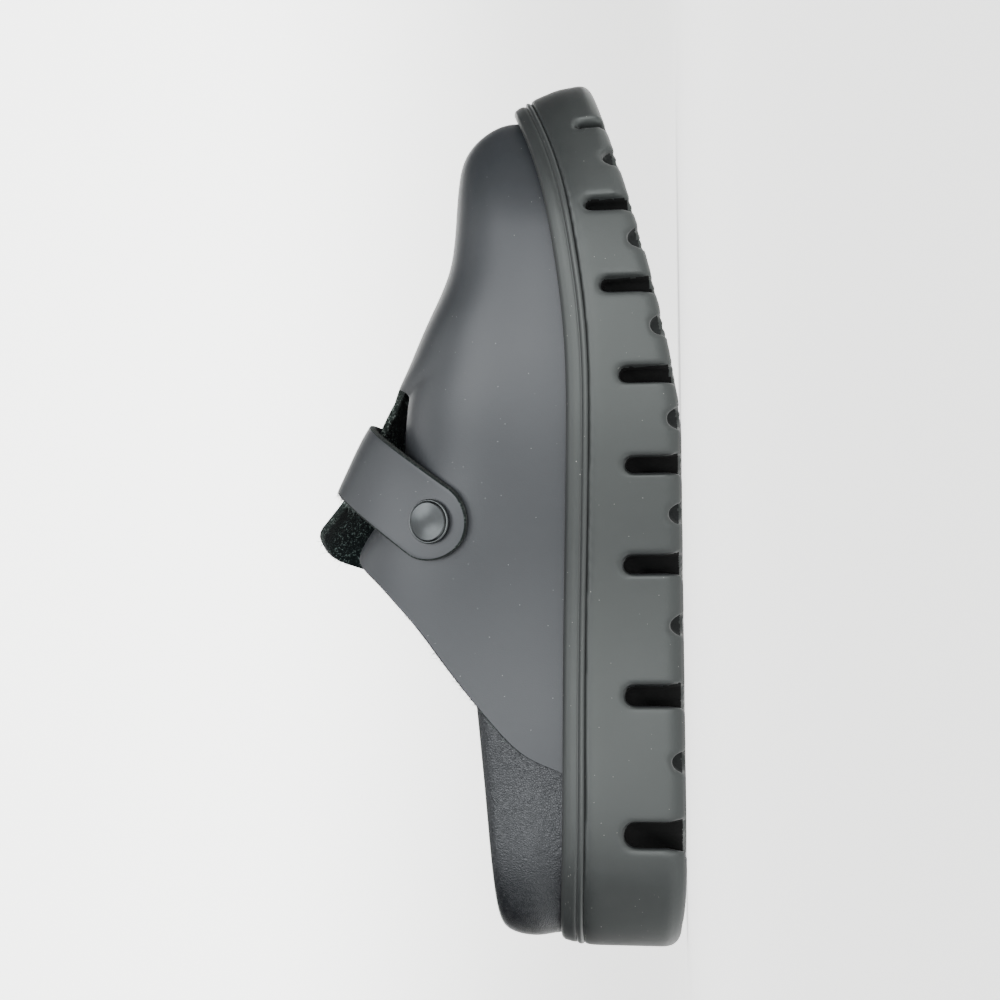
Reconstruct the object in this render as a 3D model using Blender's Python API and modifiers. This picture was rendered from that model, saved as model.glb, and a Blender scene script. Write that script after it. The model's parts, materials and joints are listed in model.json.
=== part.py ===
"""A platform clog for the left foot: rubber platform with side lugs, moulded rim, leather-covered
footbed with a raised heel cup, one hollow leather vamp with a throat slit, and a strap on two studs.

Lengths are millimetres until a vertex is made. +X runs from heel to toe, -Y is the inner side of the
foot, +Z is up and the floor is z = 0. The letter u stands for the distance behind the toe tip.
"""

import math

import bmesh
import bpy
import numpy as np
from mathutils import Vector

MM = 0.001
LENGTH = 272.0
INNER, OUTER = -1, 1
GAP = 0.35

RIM_BAND = 7.0
TREAD_LIFT_START = 108.0
TOE_FLARE = 4.0
HEEL_TUCK = 2.8
UPPER_INSET = 6.6
UPPER_WALL = 2.2
FLAP_CORNER = {INNER: 4.0, OUTER: 10.5}
CUP_LIP = 64.5
CUP_SLOPE = 0.093
COLLAR_END = 210.4
SLIT_START = 95.0
SLIT_SEAM = -0.06
FLAP_SPREAD = 0.12
STRAP_WALL = 2.2
STRAP_LIFT = 0.5
STRAP_HALF = 12.6
STRAP_END = 11.0
STRAP_SKEW = 0.2
STRAP_SPREAD = 0.62
STRAP_BOW = 1.2
STRAP_RIDGE = 115.8
STRAP_LEAN = 0.7
STUD_HEIGHT = 74.4
STUD_LIFT = 0.5

# Widest outline of the platform. x from the heel end, then the reach of the inner and outer side.
OUTLINE = (
    (0, 0, 0),
    (3, 15.5, 15.5),
    (12, 27.5, 27.5),
    (28, 34.5, 35.0),
    (50, 36.5, 38.0),
    (75, 36.0, 40.0),
    (100, 36.0, 43.0),
    (125, 38.5, 46.5),
    (150, 43.0, 50.0),
    (172, 46.5, 51.5),
    (195, 47.5, 49.5),
    (215, 46.5, 44.0),
    (235, 43.0, 35.0),
    (250, 37.5, 25.0),
    (262, 30.0, 13.5),
    (269, 21.5, 4.0),
    (272, 9.0, -9.0),
)

# Height of the rim's top edge above the floor. u, height.
RIM_LINE = (
    (0.0, 54.6),
    (11.4, 49.2),
    (34.0, 40.9),
    (55.0, 36.7),
    (71.0, 34.6),
    (88.0, 33.5),
    (110.0, 33.7),
    (148.0, 35.2),
    (187.0, 36.4),
    (236.0, 37.4),
    (272.0, 39.6),
)

# Height of the instep ridge above the floor. u, ridge.
RIDGE = (
    (10.6, 49.5),
    (12.6, 57.0),
    (16.0, 61.8),
    (23.2, 67.0),
    (29.2, 68.4),
    (37.7, 69.3),
    (50.2, 70.6),
    (57.8, 72.4),
    (67.3, 76.7),
    (78.2, 82.3),
    (88.6, 87.5),
    (94.1, 90.8),
    (106.2, 97.2),
    (116.0, 101.8),
    (126.3, 108.4),
    (135.5, 116.0),
    (141.7, 120.6),
    (148.0, 123.4),
    (165.0, 126.0),
    (215.0, 126.5),
)

# Height of the collar edge above the floor. u, inner side, outer side.
COLLAR = (
    (139.0, 119.0, 126.0),
    (143.0, 112.0, 121.8),
    (145.6, 107.0, 119.8),
    (148.5, 102.6, 116.6),
    (151.8, 98.4, 109.8),
    (155.0, 94.3, 100.6),
    (159.0, 90.0, 91.4),
    (164.8, 84.2, 84.6),
    (179.0, 72.5, 72.5),
    (192.3, 61.4, 61.4),
    (197.1, 57.2, 57.2),
    (202.6, 51.8, 51.8),
    (206.8, 45.6, 45.6),
    (210.4, 36.8, 36.8),
)

# Side grooves of the platform. u, height of the closed end above the tread, width.
GROOVES = (
    (17.5, 9.0, 2.8),
    (43.5, 13.5, 3.6),
    (67.5, 15.4, 3.9),
    (93.5, 15.8, 4.4),
    (119.5, 16.4, 4.8),
    (148.5, 17.4, 5.3),
    (187.0, 17.6, 5.8),
    (228.0, 18.4, 7.6),
)
NICKS = (28.5, 53.5, 79.0, 106.0, 133.5, 166.0, 206.0)
NICK_RADIUS = 3.0

# Moulded rim from its foot over the bead to its inner edge, which follows what stands inside it.
# inset from the outline, drop from the top.
RIM_PROFILE = (
    (0.6, 6.7),
    (0.7, 5.7),
    (1.7, 5.1),
    (1.6, 4.5),
    (1.9, 2.9),
    (2.8, 1.2),
    (4.1, 0.3),
    (5.5, 0.2),
    (None, 0.7),
    (None, 6.7),
)

# Platform wall from the tread to the parting line. inset, share of the wall height, share of the flare.
WALL_PROFILE = (
    (3.2, 0.0, 0.0),
    (1.0, 0.03, 0.0),
    (0.0, 0.11, 0.0),
    (0.0, 0.5, 0.25),
    (0.0, 0.88, 0.84),
    (0.2, 0.965, 0.96),
    (0.8, 1.0, 1.0),
)

# Footbed from its foot, over the lip and down into the dish. inset, share of lip height, share of dish.
BED_PROFILE = (
    (0.0, 0.0, None),
    (0.0, 0.28, None),
    (0.0, 0.56, None),
    (0.6, 0.80, None),
    (2.2, 0.95, None),
    (4.6, 1.0, None),
    (6.8, None, 0.86),
    (10.0, None, 0.42),
    (15.5, None, 0.06),
)

COLOURS = {
    "outsole": (0.030, 0.032, 0.033),
    "rim": (0.032, 0.034, 0.035),
    "footbed": (0.018, 0.018, 0.020),
    "upper": (0.036, 0.039, 0.042),
    "strap": (0.034, 0.037, 0.040),
    "stud_medial": (0.10, 0.10, 0.10),
    "stud_lateral": (0.10, 0.10, 0.10),
}


def spline(xs, ys):
    """A natural cubic curve through the rows of a table."""
    xs = np.array(xs, float)
    ys = np.array(ys, float)
    n = len(xs)
    h = np.diff(xs)
    lhs = np.eye(n)
    rhs = np.zeros(n)
    for i in range(1, n - 1):
        lhs[i, i - 1 : i + 2] = h[i - 1], 2 * (h[i - 1] + h[i]), h[i]
        rhs[i] = 6 * ((ys[i + 1] - ys[i]) / h[i] - (ys[i] - ys[i - 1]) / h[i - 1])
    bend = np.linalg.solve(lhs, rhs)

    def at(x):
        i = int(np.clip(np.searchsorted(xs, x) - 1, 0, n - 2))
        a = (xs[i + 1] - x) / h[i]
        b = 1 - a
        sag = ((a**3 - a) * bend[i] + (b**3 - b) * bend[i + 1]) * h[i] ** 2 / 6
        return float(a * ys[i] + b * ys[i + 1] + sag)

    return at


def blend(low, high, x):
    """0 below low, 1 above high and a smooth rise between."""
    s = min(max((x - low) / (high - low), 0.0), 1.0)
    return s * s * (3 - 2 * s)


def station(x):
    """Round-end parameter of a distance from the heel end."""
    return math.acos(1 - 2 * min(max(x, 0.0), LENGTH) / LENGTH) / math.pi


def tread(u):
    toe = 4.69e-2 * max(0.0, TREAD_LIFT_START - u) ** 1.357
    heel = 3.0e-3 * max(0.0, u - LENGTH + 36) ** 2
    return toe + heel


def flare(u):
    return TOE_FLARE * blend(0, 47, 47 - u)


def tuck(u):
    return HEEL_TUCK * blend(238, LENGTH, u)


rim_top = spline([r[0] for r in RIM_LINE], [r[1] for r in RIM_LINE])
INNER_REACH = spline([station(r[0]) for r in OUTLINE], [r[1] for r in OUTLINE])
OUTER_REACH = spline([station(r[0]) for r in OUTLINE], [r[2] for r in OUTLINE])
TOE_TIP = UPPER_INSET + TOE_FLARE
RIDGE_HEIGHT = spline([math.sqrt(r[0] - TOE_TIP) for r in RIDGE], [r[1] for r in RIDGE])
COLLAR_INNER = spline([r[0] for r in COLLAR], [r[1] for r in COLLAR])
COLLAR_OUTER = spline([r[0] for r in COLLAR], [r[2] for r in COLLAR])


def edge(t, side, inset=0.0):
    """Point of the outline at station t on one side, moved inward by inset."""

    def on(s):
        reach = INNER_REACH(s) if side == INNER else OUTER_REACH(s)
        return LENGTH * (1 - math.cos(math.pi * s)) / 2, side * reach

    x, y = on(t)
    ahead = on(t + 1e-4)
    back = on(t - 1e-4)
    along = (ahead[0] - back[0], ahead[1] - back[1])
    size = math.hypot(*along)
    return x + side * along[1] / size * inset, y - side * along[0] / size * inset


REACHES = [edge(i / 800, side)[1] for i in range(801) for side in (INNER, OUTER)]
CENTRE_Y = (min(REACHES) + max(REACHES)) / 2
CENTRE_X = (HEEL_TUCK + LENGTH) / 2


def stations():
    """Stations from heel to toe, closer together at the ends, the slit and the flap corners."""
    even = [station(LENGTH * (1 - math.cos(math.pi * i / 34)) / 2) for i in range(35)]
    rows = (SLIT_START, 97.0, 100.0, 140.0, 143.0, 146.0, 148.5, 151.0, 154.0, 205.0, COLLAR_END, 212.0)
    exact = [station(LENGTH - u) for u in rows]
    kept = [t for t in even if min(abs(t - e) for e in exact) > 0.006]
    return sorted(kept + exact)


STATIONS = stations()


def ring(inset, height):
    """Closed loop round the shoe. inset and height are functions of u, and height gets the moved u."""
    loop = []
    for side, rows in ((INNER, STATIONS[:-1]), (OUTER, STATIONS[:0:-1])):
        for t in rows:
            u = LENGTH * (1 + math.cos(math.pi * t)) / 2
            x, y = edge(t, side, inset(u, t, side))
            loop.append((x, y, height(LENGTH - x, t, side)))
    return loop


def made(name, verts, faces, home):
    """Mesh object in metres, centred on the platform, with its faces turned out."""
    mesh = bpy.data.meshes.new(name)
    work = bmesh.new()
    points = [work.verts.new(((x - CENTRE_X) * MM, (y - CENTRE_Y) * MM, z * MM)) for x, y, z in verts]
    for face in faces:
        work.faces.new([points[i] for i in face])
    bmesh.ops.remove_doubles(work, verts=work.verts, dist=1e-6)
    bmesh.ops.dissolve_degenerate(work, edges=work.edges, dist=1e-6)
    bmesh.ops.recalc_face_normals(work, faces=work.faces)
    work.to_mesh(mesh)
    work.free()
    body = bpy.data.objects.new(name, mesh)
    home.objects.link(body)
    if name in COLOURS:
        paint = bpy.data.materials.new(name)
        paint.use_nodes = True
        shader = paint.node_tree.nodes["Principled BSDF"]
        shader.inputs["Base Color"].default_value = (*COLOURS[name], 1)
        shader.inputs["Roughness"].default_value = 0.6
        mesh.materials.append(paint)
    return body


def loft(name, loops, home, hollow=False):
    """Solid through a stack of loops. A hollow one runs back to its first loop, the others get ends."""
    size = len(loops[0])
    half = size // 2
    verts = [p for loop in loops for p in loop]
    faces = []
    levels = len(loops)
    for k in range(levels if hollow else levels - 1):
        low = k * size
        high = (k + 1) % levels * size
        for i in range(size):
            j = (i + 1) % size
            faces.append((low + i, low + j, high + j, high + i))
    if not hollow:
        for low in (0, (levels - 1) * size):
            faces.append((low, low + 1, low + size - 1))
            for i in range(1, half - 1):
                faces.append((low + i, low + i + 1, low + size - i - 1, low + size - i))
            faces.append((low + half - 1, low + half, low + half + 1))
    return made(name, verts, faces, home)


def arch_power(u, side):
    """Fullness of the cross-section. The outer flank slopes more towards the instep."""
    return 2.5 + (0.1 if side == INNER else -0.6) * blend(35, 105, u)


def ridge_of(u, phi, spread):
    """Ridge height that the arch aims at. The inner flap sinks beside the slit, spread sets how soon.

    In front of the slit nothing parts the leather, so it sinks over a wider stretch.
    """
    wide = spread + 0.45 * (1 - blend(84, 101, u))
    sink = 19.0 * blend(70, 140, u) * blend(0.0, wide, -phi)
    return RIDGE_HEIGHT(math.sqrt(max(0.0, u - TOE_TIP))) - sink


def shell(t, phi, spread=FLAP_SPREAD):
    """Outside of the last. phi runs from -1 at the inner rim over 0 at the ridge to 1 at the outer rim."""
    u = LENGTH * (1 + math.cos(math.pi * t)) / 2
    inset = UPPER_INSET + flare(u)
    a = edge(t, INNER, inset)
    b = edge(t, OUTER, inset)
    ridge_x = (a[0] + b[0]) / 2
    ridge_y = (a[1] + b[1]) / 2 - 3.0 * blend(60, 110, u)
    base = a if phi < 0 else b
    power = 2 / arch_power(u, INNER if phi < 0 else OUTER)
    turn = (1 - abs(phi)) * math.pi / 2
    out = max(0.0, math.cos(turn)) ** power
    up = math.sin(turn) ** power
    x = ridge_x + (base[0] - ridge_x) * out
    y = ridge_y + (base[1] - ridge_y) * out
    foot = rim_top(LENGTH - base[0])
    top = max(foot, ridge_of(LENGTH - ridge_x, phi, spread))
    return x, y, foot + (top - foot) * up


def rise_at(t, side, z):
    """Share of the arch, from rim to ridge, where one side of the last passes the height z."""
    u = LENGTH * (1 + math.cos(math.pi * t)) / 2
    foot = rim_top(u)
    top = ridge_of(u, side * 0.5, FLAP_SPREAD)
    share = min(max((z - foot) / (top - foot), 0.0), 1.0)
    return math.asin(share ** (arch_power(u, side) / 2)) * 2 / math.pi


def open_edge(t, side):
    """phi at which one side of the upper ends: at the slit or at the collar, with a round corner."""
    u = LENGTH * (1 + math.cos(math.pi * t)) / 2
    spread = 0.06 * math.sqrt(min(max((u - SLIT_START) / 4.5, 0.0), 1.0))
    slit = SLIT_SEAM + side * spread
    if u < COLLAR[0][0]:
        return slit
    collar = (COLLAR_INNER if side == INNER else COLLAR_OUTER)(min(u, COLLAR_END))
    top = shell(t, slit)[2]
    corner = FLAP_CORNER[side]
    share = min(max(0.5 + 0.5 * (top - collar) / corner, 0.0), 1.0)
    height = top + (collar - top) * share - corner * share * (1 - share)
    rise = rise_at(t, side, height)
    full = rise_at(t, side, top)
    rise += (1 - abs(slit) - full) * (rise / full) ** 8
    return side * (1 - min(rise, 1 - abs(slit)))


def build_outsole(home, cutters):
    loops = []
    for inset, share, lean in WALL_PROFILE:

        def height(u, t, side, share=share):
            return tread(u) + share * (rim_top(u) - RIM_BAND - tread(u))

        loops.append(ring(lambda u, t, side, i=inset, k=lean: i + k * flare(u) + tuck(u), height))
    body = loft("outsole", loops, home)

    verts = []
    faces = []

    def prism(sections):
        size = len(sections[0])
        first = len(verts)
        for section in sections:
            verts.extend(section)
        faces.append(tuple(first + i for i in range(size)))
        last = first + (len(sections) - 1) * size
        faces.append(tuple(last + i for i in reversed(range(size))))
        for k in range(len(sections) - 1):
            for i in range(size):
                j = (i + 1) % size
                low = first + k * size
                faces.append((low + i, low + j, low + size + j, low + size + i))

    def slot(x, y, across, low, high, wide, mouth):
        """Upright slot with a round top, square to its path."""
        r = wide / 2
        flat = [(-mouth, low), (mouth, low), (r, low + 0.5 * (high - low))]
        flat += [(r * math.cos(i * math.pi / 4), high - r + r * math.sin(i * math.pi / 4)) for i in range(5)]
        flat.append((-r, low + 0.5 * (high - low)))
        return [(x + across[0] * w, y + across[1] * w, z) for w, z in flat]

    for u, top, wide in GROOVES:
        t = station(LENGTH - u)
        for side in (INNER, OUTER):
            px, py = edge(t, side)
            qx, qy = edge(t, side, 1.0)
            inward = (qx - px, qy - py)
            sweep = (inward[0] - 0.55, inward[1])
            size = math.hypot(*sweep)
            sweep = (sweep[0] / size, sweep[1] / size)
            middle = (edge(t, INNER)[1] + edge(t, OUTER)[1]) / 2
            run = (abs(py - middle) - 10.0) / max(abs(sweep[1]), 0.5)
            run = min(max(run, 11.0), 40.0)
            sections = []
            for go, deep, spread in ((-9.0, 1.0, 1.0), (4.5, 1.0, 1.0), (9.5, 0.8, 1.0), (run, 0.34, 0.8)):
                way = inward if go < 5 else sweep
                x = px + way[0] * go
                y = py + way[1] * go
                ground = tread(LENGTH - x)
                across = (-sweep[1], sweep[0])
                high = ground + top * deep
                sections.append(slot(x, y, across, ground - 7, high, wide * spread, wide * 0.8))
            prism(sections)

    for u in NICKS:
        t = station(LENGTH - u)
        for side in (INNER, OUTER):
            px, py = edge(t, side)
            qx, qy = edge(t, side, 1.0)
            inward = (qx - px, qy - py)
            across = (-inward[1], inward[0])
            sections = []
            for go, size in ((-6.0, 1.0), (7.0, 1.0), (10.0, 0.45)):
                r = NICK_RADIUS * size
                loop = []
                for i in range(12):
                    w = r * math.cos(i * math.pi / 6)
                    z = tread(u) + 0.4 + r * 1.25 * math.sin(i * math.pi / 6)
                    loop.append((px + inward[0] * go + across[0] * w, py + inward[1] * go + across[1] * w, z))
                sections.append(loop)
            prism(sections)

    tool = made("tread_cutter", verts, faces, cutters)
    tool.hide_render = True
    tool.display_type = "WIRE"
    cut = body.modifiers.new("lugs", "BOOLEAN")
    cut.operation = "DIFFERENCE"
    cut.solver = "EXACT"
    cut.object = tool


def build_rim(home):
    loops = []
    for inset, drop in RIM_PROFILE:

        def within(u, t, side, inset=inset):
            if inset is None:
                return (UPPER_INSET + flare(u) if u < COLLAR_END + 1 else bed_inset(u)) - GAP
            return inset + flare(u) + tuck(u) * (1 - inset / 6.2)

        loops.append(ring(within, lambda u, t, side, d=drop: rim_top(u) - d))
    loft("rim", loops, home, hollow=True)


def cup_bare(u):
    """0 where the upper covers the heel cup, 1 at the back where nothing does."""
    return blend(COLLAR_END, 262, u)


def bed_inset(u):
    return UPPER_INSET + flare(u) + (UPPER_WALL + GAP + 0.05) * (1 - cup_bare(u))


def bed_height(u):
    return rim_top(u) + 1.0 + 2.5 * blend(120, 180, u)


def lip_height(u):
    low = bed_height(u) + 0.6
    return low + (CUP_LIP - CUP_SLOPE * (u - 187) - low) * blend(122, 187, u)


def build_footbed(home):
    def foot(u):
        return rim_top(u) - RIM_BAND + GAP

    loops = []
    for inset, wall, dish in BED_PROFILE:

        def height(u, t, side, wall=wall, dish=dish):
            if wall is None:
                return bed_height(u) + dish * (lip_height(u) - bed_height(u))
            return foot(u) + wall * (lip_height(u) - foot(u))

        def within(u, t, side, inset=inset, wall=wall, height=height):
            hidden = cup_bare(u)
            start = bed_inset(u)
            base = edge(t, side, UPPER_INSET + flare(u))
            share = rise_at(t, side, height(u, t, side) if wall is not None else lip_height(u))
            on = shell(t, side * (1 - share))
            lean = math.hypot(on[0] - base[0], on[1] - base[1]) * (1 - hidden)
            bulge = 1.5 * blend(0.3, 0.55, 1.0 if wall is None else wall) * hidden
            return start + lean + inset - bulge

        loops.append(ring(within, height))
    loft("footbed", loops, home)


def build_upper(home):
    columns = 12
    rows = [t for t in STATIONS if LENGTH * (1 + math.cos(math.pi * t)) / 2 <= COLLAR_END + 1e-6]
    verts = []
    faces = []
    for side in (INNER, OUTER):
        first = len(verts)
        for t in rows:
            x, y, z = shell(t, float(side))
            verts.append((x, y, rim_top(LENGTH - x) - RIM_BAND + GAP))
            end = open_edge(t, side)
            for j in range(columns + 1):
                phi = side + (end - side) * j / columns
                verts.append(shell(t, phi))
        wide = columns + 2
        for i in range(len(rows) - 1):
            for j in range(wide - 1):
                a = first + i * wide + j
                b = a + wide
                faces.append((a, b, b + 1, a + 1) if side == INNER else (a, a + 1, b + 1, b))
    body = made("upper", verts, faces, home)
    wall = body.modifiers.new("wall", "SOLIDIFY")
    wall.thickness = UPPER_WALL * MM
    wall.offset = -1
    wall.use_even_offset = True


def strap_point(phi, across):
    """Point and outward direction on the strap's own path over both flaps."""
    x = LENGTH - STRAP_RIDGE - across * 0.866
    crown = shell(station(x), 0.0, STRAP_SPREAD)[2]

    def at(place, angle):
        return Vector(shell(station(place), angle, STRAP_SPREAD))

    place = x
    for _ in range(16):
        point = at(place, phi)
        aim = x - STRAP_LEAN * (crown - point.z)
        place += 0.6 * (aim - point.x)
    ahead = at(place + 0.5, phi) - at(place - 0.5, phi)
    over = at(place, phi + 0.004) - at(place, phi - 0.004)
    out = ahead.cross(over).normalized()
    return at(place, phi), out


def strap_lift(phi, across):
    """Clearance under the strap. It spans the hollow of the instep, so its middle stands off the most."""
    bow = STRAP_BOW * (1 - (across / STRAP_HALF) ** 2)
    return STRAP_LIFT + bow * (1 - blend(0.15, 0.5, abs(phi)))


def strap_line(side, across):
    """Length from the ridge, phi and height along one line of the strap."""
    path = []
    length = 0.0
    last = None
    for i in range(46):
        point = strap_point(side * i * 0.018, across)[0]
        length += (point - last).length if last else 0.0
        last = point
        path.append((length, side * i * 0.018, point.z))
    return np.array(path)


def build_strap(home):
    rows = []
    studs = []
    columns = 7
    lines = [STRAP_HALF * (2 * j / 8 - 1) for j in range(9)]
    for side in (INNER, OUTER):
        paths = [strap_line(side, across) for across in lines]
        stud = float(np.interp(-STUD_HEIGHT, -paths[4][:, 2], paths[4][:, 0]))
        studs.append((side, float(np.interp(stud, paths[4][:, 0], paths[4][:, 1]))))
        reach = [(stud * i / 9, STRAP_HALF, i / 9) for i in range(10)]
        for i in range(1, 7):
            turn = i * math.pi / 12
            reach.append((stud + STRAP_END * math.sin(turn), STRAP_HALF * math.cos(turn), 1.0))
        found = []
        for length, half, share in reach:
            row = []
            for j in range(columns):
                across = half * (2 * j / (columns - 1) - 1)
                cut = length - STRAP_SKEW * share * across
                phis = [float(np.interp(cut, path[:, 0], path[:, 1])) for path in paths]
                row.append((float(np.interp(across, lines, phis)), across))
            found.append(row)
        rows += found[::-1] if side == INNER else found[1:]
    verts = []
    faces = []
    for row in rows:
        for phi, across in row:
            point, out = strap_point(phi, across)
            verts.append(tuple(point + out * strap_lift(phi, across)))
    for i in range(len(rows) - 1):
        for j in range(columns - 1):
            a = i * columns + j
            faces.append((a, a + 1, a + columns + 1, a + columns))
    body = made("strap", verts, faces, home)
    middle = body.data.polygons[len(body.data.polygons) // 2]
    wall = body.modifiers.new("wall", "SOLIDIFY")
    wall.thickness = STRAP_WALL * MM
    wall.offset = 1 if middle.normal.z > 0 else -1
    wall.use_even_offset = True
    return studs


# Half section of a stud. radius, height above the strap.
STUD_PROFILE = (
    (0.0, 0.0),
    (6.2, 0.0),
    (6.75, 0.5),
    (6.75, 1.1),
    (6.3, 1.5),
    (5.5, 1.5),
    (5.2, 1.75),
    (2.8, 2.15),
    (0.0, 2.3),
)


def build_studs(home, studs):
    for side, phi in studs:
        name = "stud_medial" if side == INNER else "stud_lateral"
        point, out = strap_point(phi, 0.0)
        seat = point + out * (STRAP_LIFT + STRAP_WALL + STUD_LIFT)
        turn = out.to_track_quat("Z", "Y").to_matrix()
        steps = 28
        verts = []
        for radius, height in STUD_PROFILE:
            for i in range(steps):
                angle = 2 * math.pi * i / steps
                flat = Vector((radius * math.cos(angle), radius * math.sin(angle), height))
                verts.append(tuple(seat + turn @ flat))
        faces = []
        for k in range(len(STUD_PROFILE) - 1):
            for i in range(steps):
                j = (i + 1) % steps
                low = k * steps
                faces.append((low + i, low + j, low + steps + j, low + steps + i))
        made(name, verts, faces, home)


def main():
    for item in list(bpy.data.objects):
        bpy.data.objects.remove(item, do_unlink=True)
    scene = bpy.context.scene
    home = bpy.data.collections.new("platform_clog")
    cutters = bpy.data.collections.new("cutters")
    scene.collection.children.link(home)
    scene.collection.children.link(cutters)
    build_outsole(home, cutters)
    build_rim(home)
    build_footbed(home)
    build_upper(home)
    studs = build_strap(home)
    build_studs(home, studs)


main()
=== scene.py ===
# %% [markdown]
# # A platform clog, dressed
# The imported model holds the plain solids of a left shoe: a rubber platform, its moulded rim, a footbed
# with a heel cup, a hollow leather vamp, a strap and two studs. They are right in size and place but have
# coarse facets. This lesson makes each piece again from the same measures, with many more points, rounds
# its edges and gives it a finish. The plain solid behind it is then hidden.

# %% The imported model
import json
import math

import bmesh
import bpy
import numpy as np
from mathutils import Matrix, Vector

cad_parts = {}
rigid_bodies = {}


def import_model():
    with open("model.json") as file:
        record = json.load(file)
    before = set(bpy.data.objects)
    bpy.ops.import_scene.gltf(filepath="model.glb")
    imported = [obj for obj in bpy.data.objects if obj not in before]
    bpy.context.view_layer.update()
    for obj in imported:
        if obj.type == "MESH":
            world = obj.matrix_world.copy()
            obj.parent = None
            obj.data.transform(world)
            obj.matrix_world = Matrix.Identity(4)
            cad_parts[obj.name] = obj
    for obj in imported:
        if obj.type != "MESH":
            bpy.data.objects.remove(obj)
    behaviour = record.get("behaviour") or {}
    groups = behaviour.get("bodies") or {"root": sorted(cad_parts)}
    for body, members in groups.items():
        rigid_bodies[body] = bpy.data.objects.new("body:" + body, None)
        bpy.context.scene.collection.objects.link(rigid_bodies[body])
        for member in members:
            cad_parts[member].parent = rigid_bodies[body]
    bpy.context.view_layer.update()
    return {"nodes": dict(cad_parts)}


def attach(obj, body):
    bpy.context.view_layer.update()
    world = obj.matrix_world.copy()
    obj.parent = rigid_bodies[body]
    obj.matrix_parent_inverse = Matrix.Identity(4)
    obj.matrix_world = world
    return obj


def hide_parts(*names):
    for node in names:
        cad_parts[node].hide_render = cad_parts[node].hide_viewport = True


for leftover in list(bpy.data.objects):
    bpy.data.objects.remove(leftover)
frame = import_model()
print("solids:", sorted(frame["nodes"]))

# %% [markdown]
# ## The measures of the shoe
# A shoemaker draws a shoe from a few lines: the outline of the sole seen from above, the height of the rim
# along the side, the ridge over the toes and the instep, and the cut of the collar. Each line is a short
# table here, with a smooth curve through its rows. A modelled mesh would hide those measures in its
# vertices, while a table can be read and changed.
#
# Lengths are millimetres until a vertex is made. x runs from heel to toe, and u is the distance behind the
# toe tip. The minus Y side is the inner side of the foot.

# %% Curves through short tables
MM = 0.001
LENGTH = 272.0
INNER, OUTER = -1, 1


def spline(xs, ys):
    """A natural cubic curve through the rows of a table, for one number or for an array."""
    xs = np.array(xs, float)
    ys = np.array(ys, float)
    gaps = np.diff(xs)
    system = np.eye(len(xs))
    pull = np.zeros(len(xs))
    for i in range(1, len(xs) - 1):
        system[i, i - 1 : i + 2] = gaps[i - 1], 2 * (gaps[i - 1] + gaps[i]), gaps[i]
        pull[i] = 6 * ((ys[i + 1] - ys[i]) / gaps[i] - (ys[i] - ys[i - 1]) / gaps[i - 1])
    bend = np.linalg.solve(system, pull)

    def at(x):
        i = np.clip(np.searchsorted(xs, x) - 1, 0, len(xs) - 2)
        a = (xs[i + 1] - x) / gaps[i]
        b = 1 - a
        sag = ((a**3 - a) * bend[i] + (b**3 - b) * bend[i + 1]) * gaps[i] ** 2 / 6
        return a * ys[i] + b * ys[i + 1] + sag

    return at


def blend(low, high, x):
    """0 below low, 1 above high and a smooth rise between."""
    s = np.clip((x - low) / (high - low), 0.0, 1.0)
    return s * s * (3 - 2 * s)


def station(x):
    """Round-end parameter of a distance from the heel end, 0 at the heel and 1 at the toe tip."""
    return np.arccos(1 - 2 * np.clip(x, 0.0, LENGTH) / LENGTH) / np.pi


def behind_toe(t):
    """Distance behind the toe tip at a station."""
    return LENGTH * (1 + np.cos(np.pi * t)) / 2


# %% Outline of the platform and heights along it
# x from the heel end, then the reach of the inner and of the outer side.
OUTLINE = (
    (0, 0, 0),
    (3, 15.5, 15.5),
    (12, 27.5, 27.5),
    (28, 34.5, 35.0),
    (50, 36.5, 38.0),
    (75, 36.0, 40.0),
    (100, 36.0, 43.0),
    (125, 38.5, 46.5),
    (150, 43.0, 50.0),
    (172, 46.5, 51.5),
    (195, 47.5, 49.5),
    (215, 46.5, 44.0),
    (235, 43.0, 35.0),
    (250, 37.5, 25.0),
    (262, 30.0, 13.5),
    (269, 21.5, 4.0),
    (272, 9.0, -9.0),
)
# u, height of the rim's top edge above the floor.
RIM_LINE = (
    (0.0, 54.6),
    (11.4, 49.2),
    (34.0, 40.9),
    (55.0, 36.7),
    (71.0, 34.6),
    (88.0, 33.5),
    (110.0, 33.7),
    (148.0, 35.2),
    (187.0, 36.4),
    (236.0, 37.4),
    (272.0, 39.6),
)
RIM_BAND = 7.0
TOE_LIFT_START = 108.0
TOE_LIFT = 4.69e-2
TOE_LIFT_POWER = 1.357
HEEL_LIFT_START = 236.0
HEEL_LIFT = 3.0e-3
TOE_FLARE = 4.0
TOE_FLARE_END = 47
HEEL_TUCK = 2.8
HEEL_TUCK_START = 238

rim_top = spline(*zip(*RIM_LINE))
inner_reach = spline(station(np.array([row[0] for row in OUTLINE])), [row[1] for row in OUTLINE])
outer_reach = spline(station(np.array([row[0] for row in OUTLINE])), [row[2] for row in OUTLINE])


def tread(u):
    """Height of the tread above the floor: flat in the middle, lifted at the toe and a little at the heel."""
    toe = TOE_LIFT * np.maximum(0.0, TOE_LIFT_START - u) ** TOE_LIFT_POWER
    heel = HEEL_LIFT * np.maximum(0.0, u - HEEL_LIFT_START) ** 2
    return toe + heel


def flare(u):
    """How far the platform stands out past the rim at the toe."""
    return TOE_FLARE * blend(0, TOE_FLARE_END, TOE_FLARE_END - u)


def tuck(u):
    """How far the platform is drawn in at the heel end."""
    return HEEL_TUCK * blend(HEEL_TUCK_START, LENGTH, u)


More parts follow.
